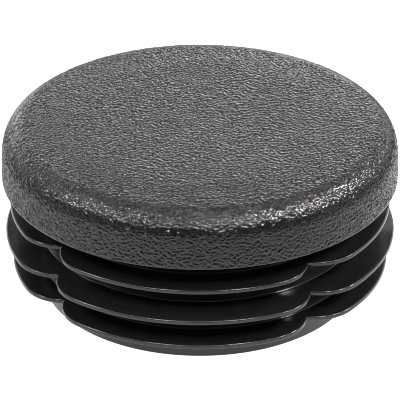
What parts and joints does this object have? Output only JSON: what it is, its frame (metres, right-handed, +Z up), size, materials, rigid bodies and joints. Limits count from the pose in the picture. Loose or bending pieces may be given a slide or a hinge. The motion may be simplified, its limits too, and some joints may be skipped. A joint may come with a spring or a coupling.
{
  "type": "tube end cap",
  "caption": "Round push-in end cap for a tube: a grained head with a rounded edge over a hollow body whose thin lobed fins grip the bore.",
  "frame": {"origin": "centre of the body's open lower rim, in the plane of the rim", "axes": "+Z up along the cap's axis, from the open rim to the head; +X and +Y run through the middles of two neighbouring lobes of the fins"},
  "size_m": [0.05, 0.05, 0.0222],
  "materials": {
    "black_polyethylene": "black moulded polyethylene: fine leather-like grain on the head, smooth and glossy on the body and the fins"
  },
  "bodies": {
    "root": {"end_cap": "black_polyethylene"}
  },
  "joints": []
}
